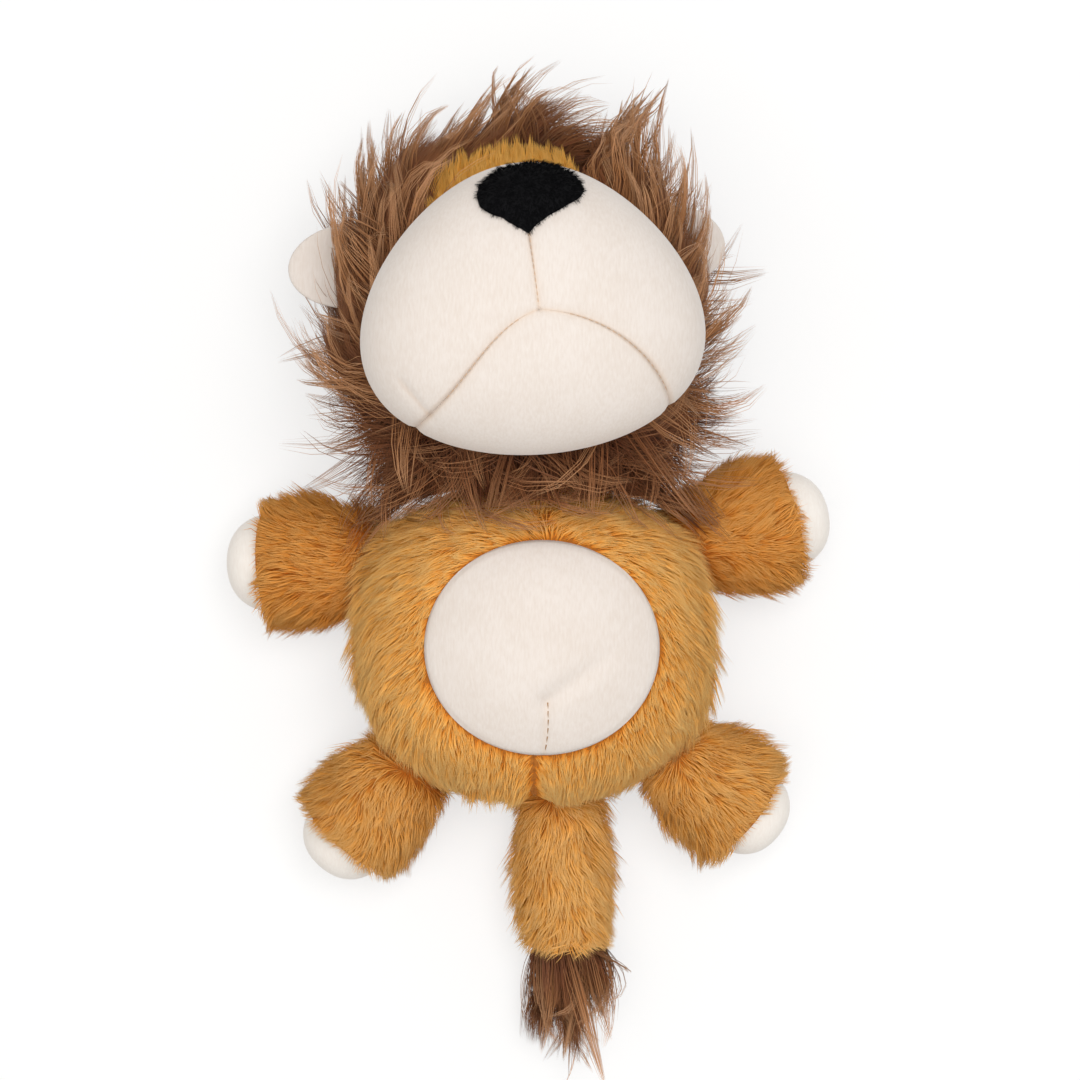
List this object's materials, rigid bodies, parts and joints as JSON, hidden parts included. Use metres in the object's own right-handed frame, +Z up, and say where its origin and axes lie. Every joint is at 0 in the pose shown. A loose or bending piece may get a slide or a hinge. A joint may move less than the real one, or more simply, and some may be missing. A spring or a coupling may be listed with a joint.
{
  "type": "plush lion",
  "caption": "Stuffed lion lying on its back: round head with a big sewn muzzle and a long-haired mane, oval belly patch, stubby limbs with velour ends and a tufted tail.",
  "frame": {"origin": "middle of the small flat on the torso's back, where the toy lies", "axes": "+Z up out of the belly, +Y towards the crown of the head, +X to the viewer's right when the toy is seen from above with its head up"},
  "size_m": [0.1832, 0.2917, 0.1235],
  "materials": {
    "plush": "ochre long-pile plush, 9 to 12 mm, brushed outwards in soft clumps",
    "velour": "cream short-pile velour, matt with a soft sheen",
    "mane": "brown long-haired fur, 35 to 45 mm, darker at the root",
    "nose": "black short-pile plush",
    "thread": "dark satin-stitch embroidery thread",
    "stuffing": "white polyester fibre fill"
  },
  "bodies": {
    "torso": {"torso_back": "plush", "torso_front_left": "plush", "torso_front_right": "plush", "belly_patch": "velour", "torso_stuffing": "stuffing"},
    "head": {"head_stuffing": "stuffing", "mane_back": "mane", "mane_front_left": "mane", "mane_front_right": "mane", "face_panel": "plush", "muzzle_cheek_left": "velour", "muzzle_cheek_right": "velour", "muzzle_chin": "velour", "nose_patch": "nose", "eye_left": "thread", "eye_right": "thread"},
    "ear_left": {"ear_left_lining": "velour", "ear_left_cover": "mane"},
    "ear_right": {"ear_right_lining": "velour", "ear_right_cover": "mane"},
    "arm_left": {"arm_left_sleeve": "plush", "arm_left_paw": "velour", "arm_left_stuffing": "stuffing"},
    "arm_right": {"arm_right_sleeve": "plush", "arm_right_paw": "velour", "arm_right_stuffing": "stuffing"},
    "leg_left": {"leg_left_sleeve": "plush", "leg_left_foot": "velour", "leg_left_stuffing": "stuffing"},
    "leg_right": {"leg_right_sleeve": "plush", "leg_right_foot": "velour", "leg_right_stuffing": "stuffing"},
    "tail": {"tail_sleeve": "plush", "tail_stuffing": "stuffing", "tail_tuft": "mane"}
  },
  "joints": [
    {"name": "head_nod", "type": "hinge", "parent": "torso", "child": "head", "pos_m": [0, 0.047, 0.0405], "axis": [1, 0, 0], "range_deg": [0, 25], "stiffness_Nm_per_rad": 0.05},
    {"name": "ear_left_flop", "type": "hinge", "parent": "head", "child": "ear_left", "pos_m": [-0.05346, 0.11471, 0.04638], "axis": [-0.0698, 0.9976, 0], "range_deg": [-15, 15], "stiffness_Nm_per_rad": 0.002},
    {"name": "ear_right_flop", "type": "hinge", "parent": "head", "child": "ear_right", "pos_m": [0.03841, 0.12113, 0.0367], "axis": [-0.0698, 0.9976, 0], "range_deg": [-15, 15], "stiffness_Nm_per_rad": 0.002},
    {"name": "arm_left_swing", "type": "hinge", "parent": "torso", "child": "arm_left", "pos_m": [-0.05519, 0.02692, 0.02338], "axis": [0, 0, 1], "range_deg": [-20, 14], "stiffness_Nm_per_rad": 0.01},
    {"name": "arm_right_swing", "type": "hinge", "parent": "torso", "child": "arm_right", "pos_m": [0.052, 0.03377, 0.02338], "axis": [0, 0, 1], "range_deg": [-14, 20], "stiffness_Nm_per_rad": 0.01},
    {"name": "leg_left_swing", "type": "hinge", "parent": "torso", "child": "leg_left", "pos_m": [-0.04128, -0.03849, 0.02231], "axis": [0, 0, 1], "range_deg": [-20, 15], "stiffness_Nm_per_rad": 0.01},
    {"name": "leg_right_swing", "type": "hinge", "parent": "torso", "child": "leg_right", "pos_m": [0.04553, -0.03431, 0.02231], "axis": [0, 0, 1], "range_deg": [-15, 20], "stiffness_Nm_per_rad": 0.01},
    {"name": "tail_swing", "type": "hinge", "parent": "torso", "child": "tail", "pos_m": [0.00779, -0.04916, 0.01846], "axis": [0, 0, 1], "range_deg": [-18, 18], "stiffness_Nm_per_rad": 0.01}
  ]
}
